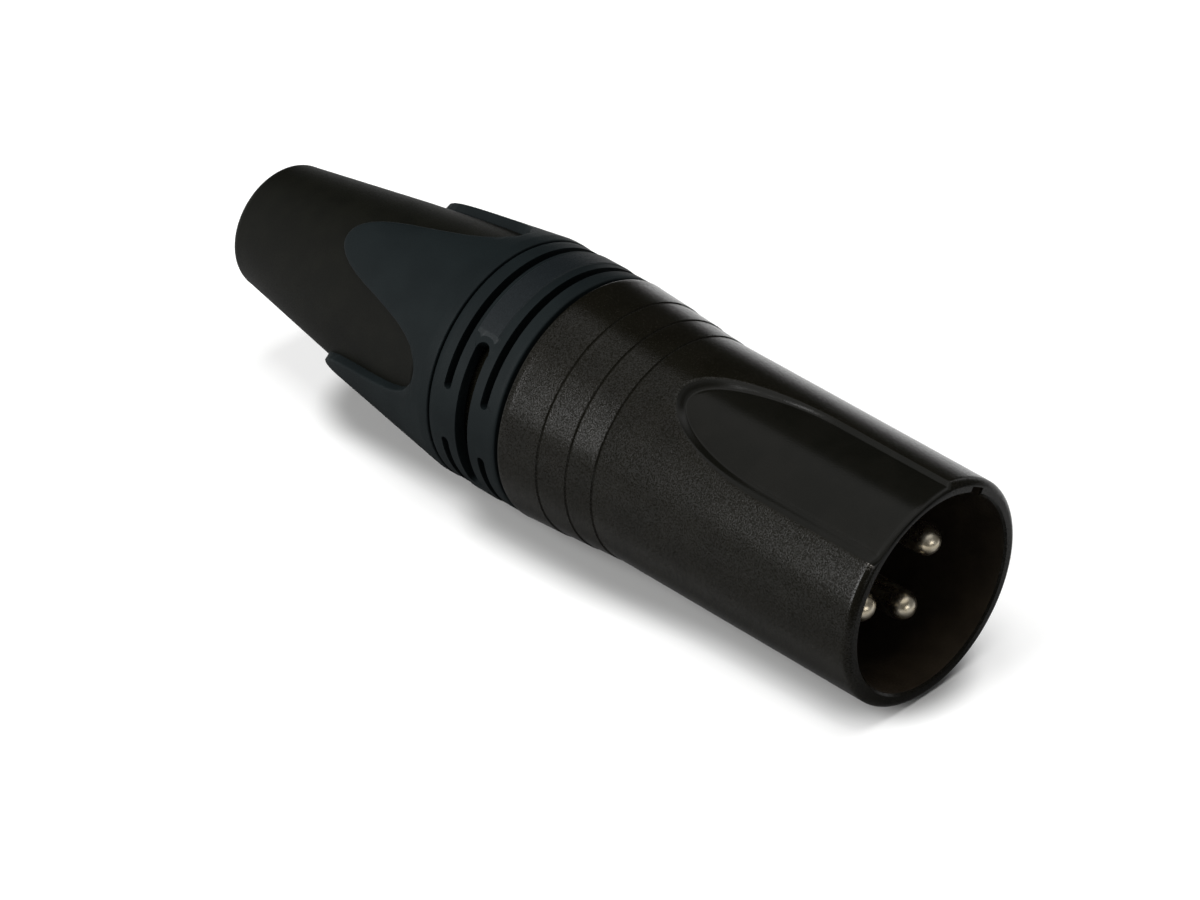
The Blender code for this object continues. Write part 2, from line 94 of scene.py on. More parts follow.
def bent(radius, turn, z):
    """Points in metres from a radius and a height in mm and an angle in radians."""
    return np.stack([radius * np.cos(turn), radius * np.sin(turn), z + 0 * radius], -1) * MM


def link(name, data):
    made = bpy.data.objects.new(name, data)
    bpy.context.scene.collection.objects.link(made)
    return made


def shade(mesh, sharp=32):
    """Smooth shading that breaks at edges sharper than an angle."""
    mesh.shade_smooth()
    mesh.set_sharp_from_angle(angle=sharp * DEG)


def build(name, points, faces, looks, slots=None, sharp=32):
    """Makes an object from welded points, with one material per face where slots says so."""
    mesh = bpy.data.meshes.new(name)
    corners = np.asarray(points, float).reshape(-1, 3).tolist()
    mesh.from_pydata(corners, [], [list(map(int, face)) for face in faces])
    for look in looks:
        mesh.materials.append(look)
    if slots is not None:
        mesh.polygons.foreach_set("material_index", np.asarray(slots, np.int32))
    work = bmesh.new()
    work.from_mesh(mesh)
    bmesh.ops.remove_doubles(work, verts=work.verts, dist=WELD)
    bmesh.ops.recalc_face_normals(work, faces=work.faces)
    work.to_mesh(mesh)
    work.free()
    shade(mesh, sharp)
    return link(name, mesh)


def grid_faces(rows, columns):
    """Quads of a grid whose rows and columns both join up again."""
    row = np.arange(rows)[:, None]
    column = np.arange(columns)[None, :]
    below, above = row * columns, (row + 1) % rows * columns
    beside = (column + 1) % columns
    quads = [below + column, below + beside, above + beside, above + column]
    return np.stack(quads, -1).reshape(-1, 4)


def turned(name, loop, looks, segments=96, sharp=32):
    """Turns a closed (radius, z) loop in mm round the axis."""
    loop = np.array(loop, float)
    turn = np.linspace(0, TAU, segments, endpoint=False)
    points = bent(loop[:, :1] + 0 * turn, turn[None, :], loop[:, 1:])
    return build(name, points, grid_faces(len(loop), segments), looks, sharp=sharp)


def bevel(piece, width, angle=50):
    """Rounds the edges sharper than an angle by a width in mm."""
    step = piece.modifiers.new("edge rounding", "BEVEL")
    step.width = width * MM
    step.segments = 2
    step.limit_method = "ANGLE"
    step.angle_limit = angle * DEG
    step.harden_normals = True


def block(name, low, high, turn=0.0):
    """A cutting or joining block between two corners in mm, turned about the axis."""
    size = [(b - a) * MM for a, b in zip(low, high)]
    centre = [(a + b) / 2 * MM for a, b in zip(low, high)]
    stretch = Matrix.Translation(centre) @ Matrix.Diagonal((*size, 1.0))
    shape = bmesh.new()
    bmesh.ops.create_cube(shape, size=1.0, matrix=Matrix.Rotation(turn * DEG, 4, "Z") @ stretch)
    mesh = bpy.data.meshes.new(name)
    shape.to_mesh(mesh)
    shape.free()
    return link(name, mesh)


def carve(piece, tool, operation="DIFFERENCE"):
    """Applies one boolean step and deletes its tool."""
    step = piece.modifiers.new("carve", "BOOLEAN")
    step.operation = operation
    step.object = tool
    graph = bpy.context.evaluated_depsgraph_get()
    made = bpy.data.meshes.new_from_object(piece.evaluated_get(graph))
    piece.modifiers.clear()
    piece.data = made
    bpy.data.objects.remove(tool, do_unlink=True)


# Materials

class Tree:
    """Short calls for the nodes of one node tree."""

    def __init__(self, tree):
        self.tree = tree

    def put(self, socket, value):
        if isinstance(value, bpy.types.NodeSocket):
            self.tree.links.new(value, socket)
        else:
            socket.default_value = value

    def add(self, kind, **inputs):
        node = self.tree.nodes.new(kind)
        for key, value in inputs.items():
            self.put(node.inputs[key.replace("_", " ")], value)
        return node

    def math(self, operation, *values):
        node = self.add("ShaderNodeMath")
        node.operation = operation
        for socket, value in zip(node.inputs, values):
            self.put(socket, value)
        return node.outputs[0]

    def vector(self, operation, value, other):
        node = self.add("ShaderNodeVectorMath")
        node.operation = operation
        self.put(node.inputs[0], value)
        self.put(node.inputs[1], other)
        return node.outputs["Value"]

    def ramp(self, value, low, high, to_low, to_high):
        """Eases from to_low to to_high while the value goes from low to high."""
        node = self.add("ShaderNodeMapRange", Value=value, From_Min=low, From_Max=high)
        node.interpolation_type = "SMOOTHSTEP"
        self.put(node.inputs["To Min"], to_low)
        self.put(node.inputs["To Max"], to_high)
        return node.outputs["Result"]

    def pick(self, share, first, second):
        """The first shader where share is 0 and the second where it is 1."""
        node = self.add("ShaderNodeMixShader")
        for socket, value in zip(node.inputs, (share, first, second)):
            self.put(socket, value)
        return node.outputs[0]

    def rays(self):
        """The kinds of ray, and 1 for those that carry a reflection or pass through glass."""
        path = self.add("ShaderNodeLightPath").outputs
        return path, self.math("MAXIMUM", path["Is Glossy Ray"], path["Is Transmission Ray"])


class Look(Tree):
    """A Principled material with short calls for its patterns, whose sizes are in mm."""

    def __init__(self, name, **values):
        self.material = bpy.data.materials.new(name)
        self.material.use_nodes = True
        super().__init__(self.material.node_tree)
        self.shader = self.tree.nodes["Principled BSDF"]
        self.set(**values)
        self.place = self.add("ShaderNodeTexCoord").outputs["Object"]

    def set(self, **links):
        for key, value in links.items():
            self.put(self.shader.inputs[key.replace("_", " ")], value)
        return self.material

    def noise(self, size, detail=2.0, rough=0.5):
        """Noise whose features are about size wide."""
        settings = dict(Scale=1 / (size * MM), Detail=detail, Roughness=rough)
        return self.add("ShaderNodeTexNoise", Vector=self.place, **settings).outputs["Fac"]

    def blend(self, share, first, second):
        """Mixes two colours."""
        node = self.add("ShaderNodeMix", Factor=share)
        node.data_type = "RGBA"
        for key, value in (("A", first), ("B", second)):
            socket = [s for s in node.inputs if s.name == key and s.type == "RGBA"][0]
            self.put(socket, value if isinstance(value, bpy.types.NodeSocket) else (*value, 1.0))
        return [s for s in node.outputs if s.type == "RGBA"][0]

    def mottle(self, pattern, dark, light, high=0.65):
        """Two tints in the patches of a pattern."""
        return self.blend(self.ramp(pattern, 0.35, high, 0.0, 1.0), dark, light)

    def gloss(self, pattern, low, high):
        """Roughness that follows a pattern."""
        return self.ramp(pattern, 0.3, 0.7, low, high)

    def bump(self, height, depth):
        """Bump whose height of 1 stands for a depth."""
        node = self.add("ShaderNodeBump", Strength=1.0, Distance=depth * MM, Height=height)
        return node.outputs["Normal"]

    def near(self, at, reach):
        """1 at a point and 0 beyond its reach."""
        away = self.vector("DISTANCE", self.place, [v * MM for v in at])
        return self.ramp(away, reach * MM, 0.0, 0.0, 1.0)


def make_patchy_look(name, ior, grain, patches, tints, gloss, depth, high=0.65):
    """Two close tints in patches, under a fine grain that varies the gloss and the height."""
    look = Look(name, IOR=ior)
    fine = look.noise(*grain)
    tint = look.mottle(look.noise(*patches), *tints, high)
    rough = look.gloss(fine, *gloss)
    return look.set(Base_Color=tint, Roughness=rough, Normal=look.bump(fine, depth))


def make_cast_look():
    """Pebbled black paint on the die casting, brownish, with a bare scuff at the recess's corner."""
    look = Look("housing_pebbled", IOR=1.2)
    pebble = look.noise(0.14, 3.0, 0.6)
    specks = look.ramp(look.noise(0.11, 3.0), 0.5, 0.6, 0.0, 1.0)
    scuff = look.math("MULTIPLY", look.near((4.77, 8.19, 0.35), 0.5), specks)
    tint = look.mottle(look.noise(3.0), (0.0032, 0.0029, 0.0018), (0.0042, 0.0038, 0.0025))
    tint = look.blend(look.ramp(pebble, 0.55, 0.7, 0.0, 0.6), tint, (0.012, 0.0112, 0.0085))
    tint = look.blend(look.math("MULTIPLY", scuff, 0.5), tint, (0.35, 0.33, 0.3))
    gleam = look.ramp(look.noise(0.125, 3.0, 0.6), 0.36, 0.64, 0.18, 0.82)
    look.set(Base_Color=tint, Roughness=look.gloss(pebble, 0.19, 0.12))
    return look.set(Specular_IOR_Level=gleam, Normal=look.bump(pebble, 0.014))


def make_recess_look():
    """The same paint on the smooth floor of the thumb recess."""
    tints = (0.003, 0.003, 0.0022), (0.0038, 0.0037, 0.0028)
    return make_patchy_look("housing_smooth", 1.2, (0.12,), (2.5,), tints, (0.13, 0.19), 0.004)


def make_socket_look():
    """Bare brown-black metal inside the barrel and the bore."""
    tints = (0.012, 0.0084, 0.005), (0.018, 0.013, 0.008)
    grain, patches = (0.2, 3.0), (2.0, 3.0)
    return make_patchy_look("housing_inside", 1.4, grain, patches, tints, (0.42, 0.56), 0.008)


def make_matt_look():
    """Blue-grey black moulded plastic with a faint spark-eroded surface."""
    tints = (0.0035, 0.0052, 0.0057), (0.0045, 0.0065, 0.007)
    grain, patches = (0.09, 2.0, 0.6), (4.0,)
    return make_patchy_look("bushing_matt", 1.15, grain, patches, tints, (0.5, 0.62), 0.006)


def make_plate_look(name, dark, light):
    """The ring's raised plates, a little greyer and grittier than the ring. With lighter tints it
    paints a highlight along the plates' edges.
    """
    look = Look(name, IOR=1.2)
    grit = look.noise(0.13, 3.0, 0.6)
    rough = look.gloss(grit, 0.6, 0.45)
    tint = look.mottle(grit, dark, light)
    return look.set(Base_Color=tint, Roughness=rough, Normal=look.bump(grit, 0.012))


def make_rubber_look():
    """Matt brown-black rubber with a soft bloom."""
    tints = (0.0016, 0.0017, 0.001), (0.0025, 0.0026, 0.0016)
    grain, bloom = (0.12, 3.0, 0.65), (2.2, 3.0)
    return make_patchy_look("boot_rubber_soft", 1.15, grain, bloom, tints, (0.48, 0.6), 0.008, 0.7)


def make_insert_look():
    """Satin black moulding."""
    tints = (0.008, 0.0072, 0.0062), (0.0108, 0.0098, 0.0085)
    return make_patchy_look("insert_satin", 1.46, (0.1,), (2.0,), tints, (0.4, 0.55), 0.005)


def make_acetal_look():
    """Smooth dark grey acetal."""
    tints = (0.05, 0.051, 0.053), (0.06, 0.061, 0.063)
    return make_patchy_look("chuck_smooth", 1.48, (0.15,), (2.5,), tints, (0.36, 0.46), 0.004)


def make_silver_look():
    """Bright plating, a little warm, with a film that dulls it in places."""
    look = Look("contact_plating", Metallic=1.0)
    film = look.noise(0.8, 3.0)
    tint = look.mottle(film, (0.6, 0.52, 0.38), (0.76, 0.7, 0.57), 0.7)
    relief = look.bump(look.noise(0.05, 3.0), 0.0008)
    return look.set(Base_Color=tint, Roughness=look.gloss(film, 0.24, 0.34), Normal=relief)


# Threads, as ridges that fade out at both ends

PITCH = 2.0
THREAD_HALF, THREAD_FLANK = 0.42, 0.22
THREAD_HEIGHT = 0.24
THREAD_FADE = 0.5


def helix_ridge(turn, z, phase, low, high):
    """Height in mm of a ridge that rises by one pitch a turn."""
    along = (z / PITCH - turn / TAU + phase) % 1.0
    off = np.abs(along - 0.5) * PITCH
    ridge = THREAD_HEIGHT * np.clip((THREAD_HALF - off) / THREAD_FLANK, 0, 1)
    return ridge * smooth((z - low) / THREAD_FADE) * smooth((high - z) / THREAD_FADE)


# Housing. The recess's middle angle is in radians and the other angles are in degrees.

BARREL_TAPER = 0.12
BAND_STEP, BAND_RAMP = 0.07, 0.06
GROOVE_DEPTH, GROOVE_HALF, GROOVE_SETBACK = 0.05, 0.08, 0.04
GROOVE_ROWS = (-0.16, -0.12, -0.04, 0.0, 0.04, 0.06, 0.1)
FLARE_GROWTH = 0.62
REAR_R, REAR_ROUND = 10.45, 0.25
RIM_EDGE_R, RIM_INNER_R, RIM_FLAT_R = 8.43, 8.5, 8.92
RIM_HEIGHT, RIM_POWER = 0.52, 1.25

RECESS_MIDDLE = 88.6 * DEG
RECESS_HALF = 4.975
RECESS_END = 11.75
RECESS_CENTRE = 11.5
RECESS_FLOOR_R, RECESS_SIDE_R = 9.05, 9.22
WALL_LOWER, WALL_UPPER, WALL_END = 1.12, 0.46, 0.95
WALL_TOP, WALL_FOOT = 0.5, 0.3
WALL_BLEND, END_BLEND = 4.0, 9.0
TRENCH_SHARE, TRENCH_HALF = 0.08, 0.3
TRENCH_FADE, TRENCH_START, TRENCH_RUN_IN = 0.6, 0.4, 0.8

KEY_ANGLE, KEY_HALF, KEY_DEPTH, KEY_LENGTH = 138.6, 4.51, 0.62, 12.0
KEY_EDGE_RS = (8.88, 8.9)
CHUCK_SLOT_HALF, CHUCK_SLOT_R, CHUCK_SLOT_LOW = 8.7, 8.55, 29.9
SIDE_WIDTH, SIDE_SLACK = 0.25, 0.1
BORE_CHAMFER = 0.2
SOCKET_DEPTH, LEDGE_HIGH = 15.2, 16.7

PLAIN, SKIN, SOCKET = 0, 1, 2
RECESS_SLOT, INSIDE_SLOT = 1, 2
COLUMN_SPANS = ((0, 360, 3.0), (58, 122.1, 0.4), (58.0, 65.1, 0.2), (113.0, 120.1, 0.2))


def barrel_r(z):
    """Outer radius of the housing without its rim rounding: barrel, bands, grooves and flare."""
    radius = BARREL_R + BARREL_TAPER * np.clip(z / BARREL_END, 0, 1)
    for start in BAND_STARTS:
        radius = radius + BAND_STEP * np.clip((z - start) / BAND_RAMP, 0, 1)
        off = np.abs(z - start + GROOVE_SETBACK)
        radius = radius - GROOVE_DEPTH * np.clip(1 - off / GROOVE_HALF, 0, 1)
    return radius + FLARE_GROWTH * np.clip((z - BARREL_END) / (REAR_EDGE - BARREL_END), 0, 1)


def recess_depth(turn, z):
    """How far the thumb recess is sunk, 0 to 1: a rounded top edge, a steep wall and a tight foot."""
    across = (turn - RECESS_MIDDLE) * BARREL_R
    along = np.maximum(z - RECESS_CENTRE, 0.0)
    u, v = across / RECESS_HALF, along / RECESS_END
    rho = np.sqrt(u * u + v * v) + 1e-9
    slope = np.sqrt((u / RECESS_HALF) ** 2 + (v / RECESS_END) ** 2) / rho
    inside = (1 - rho) / slope
    at_end = smooth(along / END_BLEND)
    width = WALL_LOWER + (WALL_UPPER - WALL_LOWER) * smooth(0.5 + across / WALL_BLEND)
    width = width + (WALL_END - width) * at_end
    t = np.clip(inside / width, 0, 1)
    steep = 1 / (1 - WALL_TOP / 2 - WALL_FOOT / 2)
    top = steep * t * t / (2 * WALL_TOP)
    wall = steep * (t - WALL_TOP / 2)
    foot = 1 - steep * (1 - t) ** 2 / (2 * WALL_FOOT)
    depth = np.where(t < WALL_TOP, top, np.where(t < 1 - WALL_FOOT, wall, foot))
    behind_rim = smooth((z - TRENCH_START) / TRENCH_RUN_IN)
    trench = TRENCH_SHARE * (1 - TRENCH_FADE * at_end) * behind_rim
    return depth + trench * smooth(1 - np.abs(inside - width) / TRENCH_HALF)


def housing_profile():
    """Rows of radius, height and kind, up the outside, over the spigot and down the bore."""
    profile = [(RIM_EDGE_R, 0.0, PLAIN), (RIM_INNER_R, 0.0, PLAIN)]
    for t in np.linspace(0, math.pi / 2, 13):
        across, up = math.sin(t) ** RIM_POWER, 1 - math.cos(t) ** RIM_POWER
        profile.append((RIM_FLAT_R + (BARREL_R - RIM_FLAT_R) * across, RIM_HEIGHT * up, SKIN))
    outside = [0.75] + spaced(1.0, 11.4, 0.4) + spaced(11.5, 23.6, 0.08) + [24.2, 25.0, 25.8]
    rear_low = REAR_EDGE - REAR_ROUND
    for start, end in zip(BAND_STARTS, BAND_STARTS[1:] + (rear_low,)):
        outside += [start + d for d in GROOVE_ROWS]
        outside += spaced(start + 0.4, end - 0.4, 0.5)
    profile += [(float(barrel_r(z)), z, SKIN) for z in outside]
    plain = arc(REAR_R - REAR_ROUND, rear_low, REAR_ROUND, 0, 90, 4)
    plain += [(SPIGOT_R, REAR_EDGE), (SPIGOT_R, SPIGOT_END - 0.3), (SPIGOT_R - 0.3, SPIGOT_END)]
    plain += [(BORE_R + BORE_CHAMFER, SPIGOT_END), (BORE_R, SPIGOT_END - BORE_CHAMFER)]
    plain += [(BORE_R, z) for z in spaced(34.2, 43.1, 0.2)[::-1]]
    plain += [(BORE_R, CHUCK_SLOT_LOW + 0.05), (BORE_R, CHUCK_SLOT_LOW - 0.05)]
    plain += [(BORE_R, LEDGE_HIGH), (LEDGE_R, LEDGE_HIGH), (LEDGE_R, SOCKET_DEPTH)]
    profile += [(r, z, PLAIN) for r, z in plain]
    socket = (SOCKET_DEPTH, KEY_LENGTH + 0.05, KEY_LENGTH - 0.05, 8.0, 4.0, 1.5, 0.18)
    profile += [(SOCKET_R, z, SOCKET) for z in socket]
    return np.array(profile)


def housing_columns():
    """Angles, closer over the recess and its long walls, with a pair at each side of a keyway."""
    columns = {round(a, 3) for span in COLUMN_SPANS for a in np.arange(*span)}
    keyways = ((KEY_ANGLE, KEY_HALF), (0.0, CHUCK_SLOT_HALF), (180.0, CHUCK_SLOT_HALF))
    for centre, half in keyways:
        for away in (half, half + SIDE_WIDTH):
            columns |= {round((centre + side * away) % 360, 3) for side in (-1, 1)}
    return np.array(sorted(columns))[None, :]


def make_housing(looks):
    profile, degrees = housing_profile(), housing_columns()
    turn = degrees * DEG
    row_r, z, kind = [profile[:, i:i + 1] for i in range(3)]
    radius = row_r + 0 * turn
    z = z + 0 * turn

    sunk = np.where(kind == SKIN, recess_depth(turn, z), 0.0)
    share = np.clip((radius - RIM_FLAT_R) / (BARREL_R - RIM_FLAT_R), 0, 1)
    across = np.clip(np.abs(turn - RECESS_MIDDLE) * BARREL_R / RECESS_HALF, 0, 1)
    floor_r = RECESS_FLOOR_R + (RECESS_SIDE_R - RECESS_FLOOR_R) * across**2
    radius -= sunk * share * (barrel_r(z) - floor_r)

    in_key = np.abs(degrees - KEY_ANGLE) < KEY_HALF + SIDE_SLACK
    radius += np.where((kind == SOCKET) & in_key & (z < KEY_LENGTH), KEY_DEPTH, 0.0)
    for row, edge_r in enumerate(KEY_EDGE_RS):
        radius[row] = np.where(in_key[0], edge_r, radius[row])

    in_slot = np.minimum(degrees % 180, 180 - degrees % 180) < CHUCK_SLOT_HALF + SIDE_SLACK
    in_bore = (kind == PLAIN) & (row_r < BORE_R + BORE_CHAMFER + 0.01) & (z > CHUCK_SLOT_LOW)
    threaded = in_bore & (np.abs(row_r - BORE_R) < 0.01)
    radius -= np.where(threaded, helix_ridge(turn, z, 0.0, 34.4, 43.0), 0.0)
    radius = np.where(in_bore & in_slot, CHUCK_SLOT_R, radius)

    faces = grid_faces(*radius.shape)
    in_recess = sunk.reshape(-1)[faces].mean(1) > 0.1
    row = np.arange(len(faces)) // degrees.size
    bore_row = int(np.argmax(profile[:, 0] == BORE_R + BORE_CHAMFER))
    inside = (row >= bore_row) & (row < len(profile) - 1)
    slots = np.where(inside, INSIDE_SLOT, np.where(in_recess, RECESS_SLOT, 0))
    return build("housing_shell", bent(radius, turn, z), faces, looks, slots, sharp=30)


# Slotted ring

RING_BODY_R, RING_INNER_R = 10.4, 9.35
RING_SWELL, SWELL_START, SWELL_RUN = 0.015, 36.5, 2.0
RING_ROUND, RING_EDGE = 0.13, 0.14
BRIDGES = (22.3, 202.3)
FRONT_SLOT, MIDDLE_SLOT, REAR_SLOT = (37.95, 0.37), (39.98, 0.7), (42.0, 0.37)
LONG_SPAN, MIDDLE_SPAN, PLATE_SPAN = (12.35, 167.65), (-39.0, 39.0), (42.5, 137.5)
SLOT_ROWS = ((FRONT_SLOT, LONG_SPAN), (REAR_SLOT, LONG_SPAN), (MIDDLE_SLOT, MIDDLE_SPAN))
SLOTS = [(*place, b + low, b + high) for place, (low, high) in SLOT_ROWS for b in BRIDGES]
SLOT_ENDS = [(c, half, at % 360, side) for c, half, *ends in SLOTS for at, side in zip(ends, (-1, 1))]
END_REACH, END_SPREAD = 0.35, 5.0
PLATES = [(b + PLATE_SPAN[0], b + PLATE_SPAN[1]) for b in BRIDGES]
PLATE_LOW, PLATE_HIGH = 39.08, 41.32
PLATE_LIFT, PLATE_EDGE, PLATE_EDGE_ANGLE = 0.08, 0.1, 0.54
DENT_ANGLE, DENT_Z, DENT_REACH, DENT_DEPTH = 58.8, 39.35, 0.4, 0.12
LEAST_COLUMN = 0.3
PLATE_SLOT, PLATE_EDGE_HIGHLIGHT_SLOT = 1, 2


def ring_offset(degrees, low, high):
    """How far an angle lies inside a span that may pass 360, in degrees; negative outside it."""
    middle, half = (low + high) / 2, (high - low) / 2
    return half - np.abs((degrees - middle + 180) % 360 - 180)


def ring_rows():
    """Heights that follow the slots' round ends and the edges of the plates and the ring."""
    rows = [RING_LOW, RING_LOW + 0.04, RING_LOW + RING_EDGE, RING_LOW + 0.5]
    for centre, half in (FRONT_SLOT, MIDDLE_SLOT, REAR_SLOT):
        rows += [centre + half * math.sin(t * DEG) for t in range(-90, 91, 15)]
    rows += [38.45, 38.8, PLATE_LOW, PLATE_LOW + PLATE_EDGE]
    rows += [41.0, PLATE_HIGH - PLATE_EDGE, PLATE_HIGH, 41.5]
    rows += [42.6, 43.1, RING_HIGH - RING_EDGE, RING_HIGH - 0.04, RING_HIGH]
    return np.array(sorted(rows))


def ring_columns():
    """Angles with the slots' ends among them, and no other that lies too close to the one before."""
    columns = {round(a, 3) for a in np.arange(0, 360, 2.0)}
    exact = {round(at, 3) for _, _, at, _ in SLOT_ENDS}
    for at in exact:
        columns |= {round((at + d) % 360, 3) for d in (-1.2, -0.5, 0.0, 0.5, 1.2)}
    for at in np.array(PLATES).reshape(-1):
        columns |= {round((at + d) % 360, 3) for d in (-PLATE_EDGE_ANGLE, 0.0, PLATE_EDGE_ANGLE)}
    kept = []
    for column in sorted(columns):
        close = bool(kept) and column - kept[-1] <= LEAST_COLUMN
        if column in exact or not close:
            if close and kept[-1] not in exact:
                kept.pop()
            kept.append(column)
    return np.array(kept)


def shell_faces(keep):
    """Quads of an outer and an inner sheet and of the walls round every missing cell."""
    rows, columns = keep.shape[0] + 1, keep.shape[1]
    none = np.zeros_like(keep[:1])
    below, beside = np.vstack([none, keep[:-1]]), np.roll(keep, 1, 1)
    above, after = np.vstack([keep[1:], none]), np.roll(keep, -1, 1)
    i, j = np.nonzero(keep)
    k = (j + 1) % columns
    a, b, c, d = [row * columns + column for row, column in ((i, j), (i, k), (i + 1, k), (i + 1, j))]
    deep = rows * columns
    faces = [np.stack([a, b, c, d], 1), np.stack([a, d, c, b], 1) + deep]
    for near, p, q in ((below, a, b), (after, b, c), (above, c, d), (beside, d, a)):
        bare = ~near[i, j]
        p, q = p[bare], q[bare]
        faces.append(np.stack([q, p, p + deep, q + deep], 1))
    return np.vstack(faces)


def make_ring(looks):
    z, degrees = ring_rows()[:, None], ring_columns()[None, :]
    z, degrees = z + 0 * degrees, degrees + 0 * z

    shift = np.zeros_like(degrees)
    for centre, half, at, side in SLOT_ENDS:
        off = np.abs(z - centre)
        reach = half / RING_R / DEG
        pull = (half - np.sqrt(np.clip(half**2 - off**2, 0, None))) / RING_R / DEG
        pull = np.where(off > half, reach * np.clip(1 - (off - half) / END_REACH, 0, 1), pull)
        away = np.abs((degrees - at + 180) % 360 - 180)
        shift -= side * pull * np.clip(1 - away / END_SPREAD, 0, 1)

    raised = np.zeros_like(z)
    for low, high in PLATES:
        inside = ring_offset(degrees, low, high) * RING_R * DEG
        inside = np.minimum(inside, np.minimum(z - PLATE_LOW, PLATE_HIGH - z))
        raised = np.maximum(raised, np.clip(inside / PLATE_EDGE, 0, 1))
    edge = np.minimum(z - RING_LOW, RING_HIGH - z)
    dent = np.hypot((degrees - DENT_ANGLE) * DEG * RING_R, z - DENT_Z)
    outer_r = RING_BODY_R + RING_SWELL * smooth((z - SWELL_START) / SWELL_RUN) + PLATE_LIFT * raised
    outer_r -= RING_ROUND * (1 - np.clip(edge / RING_EDGE, 0, 1)) ** 2
    outer_r -= DENT_DEPTH * smooth(1 - dent / DENT_REACH)

    mid_z = (z[1:, :1] + z[:-1, :1]) / 2
    next_column = np.append(degrees[0, 1:], degrees[0, 0] + 360)
    mid_column = ((degrees[0] + next_column) / 2 % 360)[None, :]
    keep = np.ones((len(z) - 1, z.shape[1]), bool)
    for centre, half, low, high in SLOTS:
        keep &= ~((np.abs(mid_z - centre) < half) & (ring_offset(mid_column, low, high) > 0))

    turn = (degrees + shift) * DEG
    points = [bent(outer_r, turn, z), bent(RING_INNER_R + 0 * z, turn, z)]
    faces = shell_faces(keep)
    lift = np.append(raised, 0 * raised)[faces]
    on_plate = (faces.max(1) < raised.size) & (lift.max(1) > 0)
    # Faces on the plates' edges take the lighter look, a painted highlight
    slots = np.where(on_plate, np.where(lift.min(1) > 0.99, PLATE_SLOT, PLATE_EDGE_HIGHLIGHT_SLOT), 0)
    piece = build("slotted_ring_shell", np.stack(points), faces, looks, slots, sharp=38)
    bevel(piece, 0.045)
    return piece


# Bushing

COLLAR_R, COLLAR_ROUND = 10.49, 0.12
SKIRT_START, TIP_R = 44.8, 8.43
FINGER_WALL = 1.4
NOSE_LOW, NOSE_CHAMFER = 33.5, 0.3
SLEEVE_R, SLEEVE_WALL = 7.3, 1.1
TIP_REACH = 1.3
EDGE_FILLET, EDGE_STEPS = 0.22, (0.0, 0.012, 0.035, 0.075, 0.13, 0.2)
ROLL_START = 45.5
TIP_START, TIP_FLAT = 57.9, 0.45
TIP_BEAD, TIP_BEAD_REACH = 0.05, 0.5
TIP_UNDER, TIP_UNDER_START, TIP_UNDER_RUN = 0.3, 57.5, 1.8

# Height and half angle of a window's edge, from its arch to the tips of the fingers
WINDOW_EDGE = (
    (46.3, 6.3), (47.0, 10.9), (48.0, 14.2), (49.2, 16.9), (50.6, 19.2), (53.0, 22.7), (54.6, 24.8),
    (56.0, 27.2), (57.2, 30.0), (58.1, 33.2), (58.7, 36.2), (59.05, 39.0), (59.22, 41.6), (TIP, 44.9),
)
WINDOW_START, WINDOW_START_HALF = WINDOW_EDGE[0]


def skirt_r(z):
    """Outer radius of the fingers."""
    return np.interp(z, (SKIRT_START, TIP), (COLLAR_R, TIP_R))


def window_half(z):
    """Half angle of a window between two fingers."""
    arch = np.sqrt(np.clip((z - ARCH_APEX) / (WINDOW_START - ARCH_APEX), 0, 1))
    return np.where(z < WINDOW_START, WINDOW_START_HALF * arch, np.interp(z, *zip(*WINDOW_EDGE)))


def outline_points():
    """A finger's outline on the unrolled skirt, in mm from its middle line."""
    z = slow_start(ARCH_APEX, SKIRT_LOW + 1 - ARCH_APEX, 40)[:-1]
    z = np.array(z + spaced(47.0, 58.0, 0.1) + slow_end(TIP, TIP_REACH, 40))
    across = (45 - window_half(z)) * DEG * skirt_r(z)
    return np.stack([across, z], -1)


def edge_roll(x, z):
    """How far the outer skin drops beside a finger's outline, with a bead along its tip."""
    flat = np.stack([x, z + 0 * x], -1).reshape(-1, 2)
    line = outline_points()
    gap = np.full(len(flat), 9.0)
    for a, b in zip(line[:-1], line[1:]):
        for mirror in ((1, 1), (-1, 1)):
            start, run = a * mirror, (b - a) * mirror
            t = np.clip(((flat - start) @ run) / max(run @ run, 1e-12), 0, 1)
            gap = np.minimum(gap, np.linalg.norm(flat - start - t[:, None] * run, axis=1))
    gap = gap.reshape(x.shape)
    near = np.clip(EDGE_FILLET - gap, 0, EDGE_FILLET)
    drop = EDGE_FILLET - np.sqrt(np.maximum(EDGE_FILLET**2 - near**2, 0.0))
    tip = smooth((z - TIP_START) / TIP_REACH)
    bead = TIP_BEAD * tip * np.clip(1 - gap / TIP_BEAD_REACH, 0, 1)
    return drop * (1 - TIP_FLAT * tip) + bead


